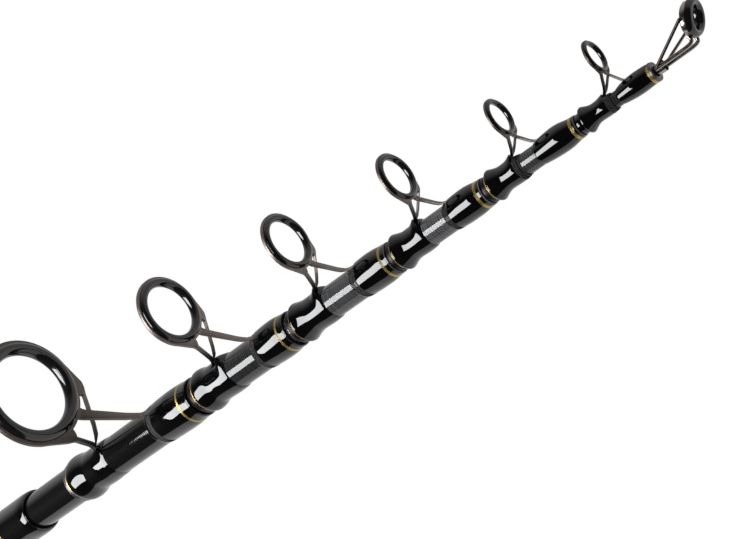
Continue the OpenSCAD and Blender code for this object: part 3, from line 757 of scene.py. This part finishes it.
def lifted(points, line):
    """Points of a ring's outside, lifted clear of a line of lacquer where that runs under them."""
    return [(max(r, on_line(line, z) + GOLD_PROUD) if z > line[0][1] else r, z) for r, z in points]


def gold_ring(section):
    """A gold ring: its core, and the turns of thread round it."""
    core = [(r - THREAD_D / 2, z) for r, z in section[:-2]]
    return [turned(core + section[-2:]), wound(gold, core[0], core[-1])]


# Only the rear and middle of the butt's ring are lifted, so its front turns lie under the lacquer.
rear, middle, *rest = bored("butt_gold_ring")
butt_ring = lifted([rear, middle], lacquer_lines["butt_wrap"]) + rest
stands_for(piece("gold_butt_ring", joined(gold_ring(butt_ring)), gold), "butt_gold_ring", "gold")
for k, s in enumerate(SECTIONS):
    node = "gold_rings_" + s
    line = lacquer_lines["front_wrap_" + s]
    rings = [gold_ring(lifted(ring[:2], line) + ring[2:]) for ring in rings_of(node)]
    meshes = [mesh for ring in rings for mesh in ring]
    stands_for(piece("gold_thread_" + s, joined(meshes), gold), node, "gold")

    node, low, high = bare_band(s)
    wrap = outline(node, pi - FAN * k)[0]
    heights = [low + (high - low) * q / BARE_PARTS for q in range(BARE_PARTS + 1)]
    stops = [(on_line(wrap, z) - BARE_SINK, z) for z in heights]
    turns = [wound(bare_thread, a, b) for a, b in zip(stops, stops[1:])]
    bare = piece("bare_thread_" + s, joined(turns), bare_thread)
    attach(bare, "section_" + s)

# The mouth cap: a thin metal lip, pressed over the front edge of section F's wrap as far as the
# gold ring. The tip-top's ferrule stops on it when the rod is closed.
MOUTH_SKIN = 0.04 * MM
wrap_f = outline("front_wrap_f", pi - FAN * SECTIONS.index("f"))[0]
mouth_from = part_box("gold_rings_f")[1][2]
mouth_bore, mouth_end = outline("tube_f")[0][-1]
mouth_r = on_line(wrap_f, mouth_from) + MOUTH_SKIN
mouth_section = [
    (mouth_bore, mouth_from), (mouth_r, mouth_from), (mouth_r, mouth_end), (mouth_bore, mouth_end),
]
mouth_cap = piece("mouth_cap_f", turned(broken(mouth_section, MOUTH_ROUND)), light_metal)
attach(mouth_cap, "section_f")

# The guide frames: stamped from sheet, folded into a ring plate, two legs and a strut, and plated
# a satin grey. Shade is painted into that grey: the legs near black, and the plate and strut darker
# by a set amount on each guide. The feet lie on the tube under the wraps.
FRAME_EDGE = 0.09 * MM
PLATE_LEAST, PLATE_SHARE = 0.25 * MM, 0.06
SHADE_AHEAD, SHADE_BEHIND = 0.15, 0.12
PLATED, FRAME_PAINTED_SHADE = (0.26, 0.22, 0.197), (0.012, 0.0108, 0.0102)
PLATE_SHADE = {"a": 0.6, "b": 0.3, "c": 0.3, "d": 0.4, "e": 0.5, "f": 0.6}
STRUT_SHADE = {"a": 0.25, "b": 0.0, "c": 0.0, "d": 0.15, "e": 0.4, "f": 0.6}
# The shade attribute mixes painted shade into the plating, from its lit grey to near black.
gunmetal = finish("plated_gunmetal", PLATED, 0.45, Metallic=1.0)
shade_of = wire(gunmetal, "Attribute", {}, attribute_name="shade").outputs["Fac"]
tint(gunmetal, shade_of, PLATED, FRAME_PAINTED_SHADE)
feed(gunmetal, "Roughness", mottle(gunmetal, 900.0, 0.4, 0.52))


def plate_back(k):
    """Height of the back of a guide's plate."""
    return plate_front(k) - PLATE_LEAST - PLATE_SHARE * RING_R[k]


for k, s in enumerate(SECTIONS):
    node = "guide_frame_" + s
    mesh = dressed(node, FRAME_EDGE)
    front, back = plate_front(k), plate_back(k)
    shade = mesh.attributes.new("shade", "FLOAT", "POINT")
    for v, value in zip(mesh.vertices, shade.data):
        forward = ramp(front, front + SHADE_AHEAD * RING_R[k], v.co.z)
        level = PLATE_SHADE[s] + (STRUT_SHADE[s] - PLATE_SHADE[s]) * forward
        value.value = max(level, ramp(back, back - SHADE_BEHIND * RING_R[k], v.co.z))
    stands_for(piece("plated_" + node, mesh, gunmetal), node, "gunmetal")

# The guide rings: hard black ceramic, ground and polished, pressed into the frames from the front.
# The bore is fully rounded, so that line runs over it without an edge.
BORE_SHARE, FLANGE_SHARE, SEAT_SHARE = 0.72, 0.94, 0.86
RING_TAIL = 0.08
ceramic = finish("polished_ceramic", (0.014, 0.014, 0.015), 0.1, IOR=1.6)
tint(ceramic, mottle(ceramic, 600.0, 0.0, 1.0), (0.011, 0.011, 0.012), (0.018, 0.018, 0.019))
feed(ceramic, "Roughness", mottle(ceramic, 500.0, 0.09, 0.14))


def ring_section(bore, flange, waist, nose, tail, step=5):
    """Section of a ceramic ring: rounded bore and face, a flange, and a waist in the plate."""
    mid, half = (bore + flange) / 2, (nose + tail) / 2
    points = [
        (mid + (mid - bore) * cos(radians(a)), half + (nose - half) * sin(radians(a)))
        for a in range(270, 89, -step)
    ]
    points += [
        (mid + (flange - mid) * cos(radians(a)), nose * sin(radians(a)))
        for a in range(90 - step, -1, -step)
    ]
    return points + [(waist, 0), (waist, tail + nose / 3), ((mid + waist) / 2, tail)]


for k, s in enumerate(SECTIONS):
    node = "guide_ring_" + s
    low, high = (Vector(p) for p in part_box(node))
    centre = (low + high) / 2
    place = Matrix.Translation((centre.x, centre.y, plate_front(k)))
    shares = (BORE_SHARE, FLANGE_SHARE, SEAT_SHARE, RING_NOSE, -RING_TAIL)
    bore, flange, waist, nose, tail = (share * RING_R[k] for share in shares)
    section = ring_section(bore, flange, waist, nose, plate_back(k) - plate_front(k) + tail)
    ring = piece("ceramic_" + node, turned(section, place=place, segments=128), ceramic)
    stands_for(ring, node, "ceramic")

# The tip-top: a steel ferrule on the end of the tip, a rim with two braces and two wires that curl
# up to it, soldered together, and a thick black ceramic ring pressed into the rim. One brace has
# painted shade: its colour is darkened to near black.
TIP_R = 5.15 * MM
TIP_BORE, TIP_NOSE = 0.54, 0.33
TIP_LEAN = radians(25)
TIP_TURN = -len(SECTIONS) * FAN
TIP_X, TIP_Z = 5.8 * MM, 15.2 * MM
RIM_T = 1.4 * MM
RIM_R, RIM_SEAT = 0.88 * TIP_R, 0.8 * TIP_R
RIM_ROUND, FERRULE_ROUND = 0.15 * MM, 0.25 * MM
WIRE_D = 1.1 * MM
WIRE_SINK, SOLDER = 0.02 * MM, 0.25 * MM
CURL_ANGLE, CURL_DEPTH = radians(25), 0.6
CURL_STEPS = 14
BEND_BELOW, CORNER_ABOVE = 3.2 * MM, 0.6 * MM
UNDER_X, UNDER_Z = -1.6 * MM, 0.5 * MM
BRACE_R = 0.44 * MM
SHADED_BRACE = 1
BRIGHT, BRACE_PAINTED_SHADE = (0.34, 0.305, 0.285), (0.03, 0.027, 0.025)
steel = finish("polished_steel", BRIGHT, 0.2, Metallic=1.0)
tint(steel, wire(steel, "Attribute", {}, attribute_name="shade").outputs["Fac"], BRIGHT, BRACE_PAINTED_SHADE)
feed(steel, "Roughness", mottle(steel, 1200.0, 0.14, 0.24))
ferrule_mesh = turned(broken(bored("tip_ferrule"), FERRULE_ROUND), segments=64)
stands_for(piece("steel_tip_ferrule", ferrule_mesh, steel), "tip_ferrule", "steel")

tip_turn = Matrix.Rotation(TIP_TURN, 4, "Z")
ring_at = Matrix.Translation((TIP_X, 0, mouth_end + TIP_Z))
ring_place = tip_turn @ ring_at @ Matrix.Rotation(-TIP_LEAN, 4, "Y")


def curl(a, b, c, d):
    """Points on a smooth bend from a to d, leaving towards b and arriving from c."""
    for k in range(CURL_STEPS + 1):
        t = k / CURL_STEPS
        yield (1 - t) ** 3 * a + 3 * t * (1 - t) ** 2 * b + 3 * t * t * (1 - t) * c + t ** 3 * d


def drawn_wire(points, radius, sides=16):
    """Mesh of a round wire along a path, closed at both ends."""
    bm = bmesh.new()
    loops = []
    normal = None
    for k, here in enumerate(points):
        ahead = (points[min(k + 1, len(points) - 1)] - points[max(k - 1, 0)]).normalized()
        normal = ahead.orthogonal() if normal is None else normal - ahead * normal.dot(ahead)
        normal.normalize()
        across = ahead.cross(normal)
        angles = [2 * pi * q / sides for q in range(sides)]
        spokes = [normal * cos(a) + across * sin(a) for a in angles]
        loops.append([bm.verts.new(here + radius * spoke) for spoke in spokes])
    for one, two in zip(loops, loops[1:]):
        for q in range(sides):
            bm.faces.new((one[q], one[(q + 1) % sides], two[(q + 1) % sides], two[q]))
    bm.faces.new(loops[0])
    bm.faces.new(loops[-1])
    mesh = bpy.data.meshes.new("wire")
    bm.to_mesh(mesh)
    bm.free()
    return mesh


ferrule_low, ferrule_high = (Vector(p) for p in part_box("tip_ferrule"))
wire_y = (ferrule_high.x - ferrule_low.x) / 2 + WIRE_D / 2 - WIRE_SINK
join_r = RIM_R + WIRE_D / 2 - SOLDER
rim = [(RIM_SEAT, 0), (RIM_SEAT, -RIM_T), (RIM_R, -RIM_T), (RIM_R, 0)]
tip_meshes = [turned(broken(rim, RIM_ROUND), place=ring_place)]
for side in (1, -1):
    foot = tip_turn @ Vector((0, side * wire_y, ferrule_low.z + WIRE_D / 2))
    brace_end = ring_place @ Vector((0, side * join_r, -RIM_T))
    curl_x, curl_y = -join_r * cos(CURL_ANGLE), side * join_r * sin(CURL_ANGLE)
    curl_end = ring_place @ Vector((curl_x, curl_y, -CURL_DEPTH * RIM_T))
    rise = curl_end.z - foot.z
    bend = foot + Vector((0, 0, rise - BEND_BELOW))
    corner_at = foot + Vector((0, 0, rise + CORNER_ABOVE))
    under = curl_end + tip_turn @ Vector((UNDER_X, 0, UNDER_Z))
    tip_meshes.append(drawn_wire([foot, foot.lerp(brace_end, 0.5), brace_end], BRACE_R))
    tip_meshes.append(drawn_wire([foot, *curl(bend, corner_at, under, curl_end)], WIRE_D / 2))
# Painted shade: the shade attribute darkens the one brace's colour to near black.
first = sum(len(mesh.vertices) for mesh in tip_meshes[:SHADED_BRACE])
count = len(tip_meshes[SHADED_BRACE].vertices)
frame_mesh = joined(tip_meshes)
shade = frame_mesh.attributes.new("shade", "FLOAT", "POINT")
for v in range(first, first + count):
    shade.data[v].value = 1.0
stands_for(piece("steel_tip_frame", frame_mesh, steel), "tip_frame", "steel")

tip_section = ring_section(
    TIP_BORE * TIP_R, TIP_R, RIM_SEAT, TIP_NOSE * TIP_R, -RIM_T - RING_TAIL * TIP_R,
)
tip_ring = piece("ceramic_tip_ring", turned(tip_section, place=ring_place), ceramic)
stands_for(tip_ring, "tip_ring", "ceramic")

# The studio: a white floor and surround, and one soft box beside the camera. The side where the
# camera stands is left dark, so that black lacquer keeps its depth and only its flanks mirror
# white.
DARK_MID = radians(54)
DARK_LEVEL = 0.035
FLANK_FROM, FLANK_TO, FLANK_LEVEL = radians(60), radians(64), 0.9
RISE_FROM, RISE_TO, RISE_LEVEL = radians(58), radians(96), 0.62
FILL_LEVEL = 0.05
BOX_TURN = radians(41.5)
BOX_AWAY = 0.425
BOX_HEIGHT = 0.3245
BOX_SIZE = (0.27, 0.585)
BOX_PITCH, BOX_TILT = radians(15.4), radians(13)
BOX_COLOUR = (0.97, 0.985, 1.0)
KEY_LIGHT, KEY_GLINT = 4.2, 13.5
GLINT_NEARER = 1 * MM
FLOOR_R, FLOOR_DROP = 30.0, 0.5 * MM
FLOOR_GREY = 0.08


def studio_node(tree, kind, inputs, **settings):
    """A shader node in the floor's or the world's tree."""
    return node_in(tree, "ShaderNode" + kind, inputs, **settings)


def white_for(tree, spot):
    """Strength of the white in the direction of spot: 1 for what the camera sees. What gloss and
    glass mirror is dark on the camera's side, and grows white towards both flanks."""
    def along(x, y):
        way = {0: spot, 1: (x, y, 0)}
        return studio_node(tree, "VectorMath", way, operation="DOT_PRODUCT").outputs["Value"]

    def grown(angle, start, end, level):
        return studio_node(tree, "MapRange", {
            "Value": angle, "From Min": start, "From Max": end,
            "To Min": DARK_LEVEL, "To Max": level,
        }).outputs["Result"]

    ahead = along(cos(DARK_MID), sin(DARK_MID))
    aside = along(-sin(DARK_MID), cos(DARK_MID))
    angle = sum_in(tree, "ARCTAN2", aside, ahead)
    flank = grown(angle, FLANK_FROM, FLANK_TO, FLANK_LEVEL)
    rise = grown(sum_in(tree, "MULTIPLY", angle, -1.0), RISE_FROM, RISE_TO, RISE_LEVEL)
    path = studio_node(tree, "LightPath", {}).outputs
    mirrored = sum_in(tree, "MAXIMUM", path["Is Glossy Ray"], path["Is Transmission Ray"])
    shown = sum_in(tree, "MULTIPLY", mirrored, sum_in(tree, "MAXIMUM", flank, rise))
    return sum_in(tree, "MAXIMUM", path["Is Camera Ray"], shown)


floor_white = bpy.data.materials.new("white_floor")
floor_white.use_nodes = True
tree = floor_white.node_tree
tree.nodes.clear()
spot = studio_node(tree, "TexCoord", {}).outputs["Object"]
grey = (FLOOR_GREY, FLOOR_GREY, FLOOR_GREY, 1)
matt = studio_node(tree, "BsdfDiffuse", {"Color": grey}).outputs[0]
glow = studio_node(tree, "Emission", {"Strength": white_for(tree, spot)}).outputs[0]
both = studio_node(tree, "AddShader", {0: matt, 1: glow}).outputs[0]
studio_node(tree, "OutputMaterial", {"Surface": both})
bm = bmesh.new()
bmesh.ops.create_circle(bm, cap_ends=True, segments=96, radius=FLOOR_R)
floor_mesh = bpy.data.meshes.new("floor")
bm.to_mesh(floor_mesh)
bm.free()
floor_mesh.transform(Matrix.Translation((0, 0, -FLOOR_DROP)))
floor_mesh.materials.append(floor_white)
floor = bpy.data.objects.new("floor", floor_mesh)
bpy.context.scene.collection.objects.link(floor)


def soft_box(name, radiance, away, diffuse):
    """A rectangle of even light that faces the rod and leans over it, turned a little in its own
    plane. It is either seen in gloss or lights what is matt, so that each can be set alone. Its
    power follows from its radiance."""
    data = bpy.data.lights.new(name, "AREA")
    data.shape = "RECTANGLE"
    data.size, data.size_y = BOX_SIZE
    data.energy = radiance * data.size * data.size_y * pi
    data.color = BOX_COLOUR
    lamp = bpy.data.objects.new(name, data)
    bpy.context.scene.collection.objects.link(lamp)
    outward = Vector((cos(BOX_TURN), sin(BOX_TURN), 0))
    lamp.location = away * outward + Vector((0, 0, BOX_HEIGHT))
    back = cos(BOX_PITCH) * outward + Vector((0, 0, sin(BOX_PITCH)))
    facing = back.to_track_quat("Z", "Y") @ Quaternion((0, 0, 1), BOX_TILT)
    lamp.rotation_euler = facing.to_euler()
    lamp.visible_camera = False
    lamp.visible_diffuse = diffuse
    lamp.visible_glossy = not diffuse


soft_box("key_box", KEY_LIGHT, BOX_AWAY, True)
soft_box("key_glint", KEY_GLINT, BOX_AWAY - GLINT_NEARER, False)

world = bpy.data.worlds.new("studio")
bpy.context.scene.world = world
world.use_nodes = True
tree = world.node_tree
tree.nodes.clear()
spot = studio_node(tree, "TexCoord", {}).outputs["Generated"]
fill = sum_in(tree, "MAXIMUM", white_for(tree, spot), FILL_LEVEL)
surround = studio_node(tree, "Background", {"Color": (1, 1, 1, 1), "Strength": fill}).outputs[0]
studio_node(tree, "OutputWorld", {"Surface": surround})

# The camera looks obliquely down on the rod from its tip's side. Its lens, place and turn are
# fitted to the six rings, their feet, the tubes' edges and the gold rings.
LENS = 63.48
CAMERA_AT = (0.20660, 0.25315, 0.93538)
CAMERA_TURN = (
    (-0.75195, 0.41740, 0.51025),
    (-0.00347, -0.77651, 0.63010),
    (0.65921, 0.47204, 0.58534),
)
camera_data = bpy.data.cameras.new("camera")
camera_data.sensor_fit = "HORIZONTAL"
camera_data.sensor_width = 36.0
camera_data.lens = LENS
camera_data.clip_start = 0.01
camera_data.clip_end = 200.0
camera = bpy.data.objects.new("camera", camera_data)
bpy.context.scene.collection.objects.link(camera)
camera.matrix_world = Matrix.Translation(CAMERA_AT) @ Matrix(CAMERA_TURN).to_4x4()
bpy.context.scene.camera = camera
bpy.context.scene.view_settings.view_transform = "Standard"
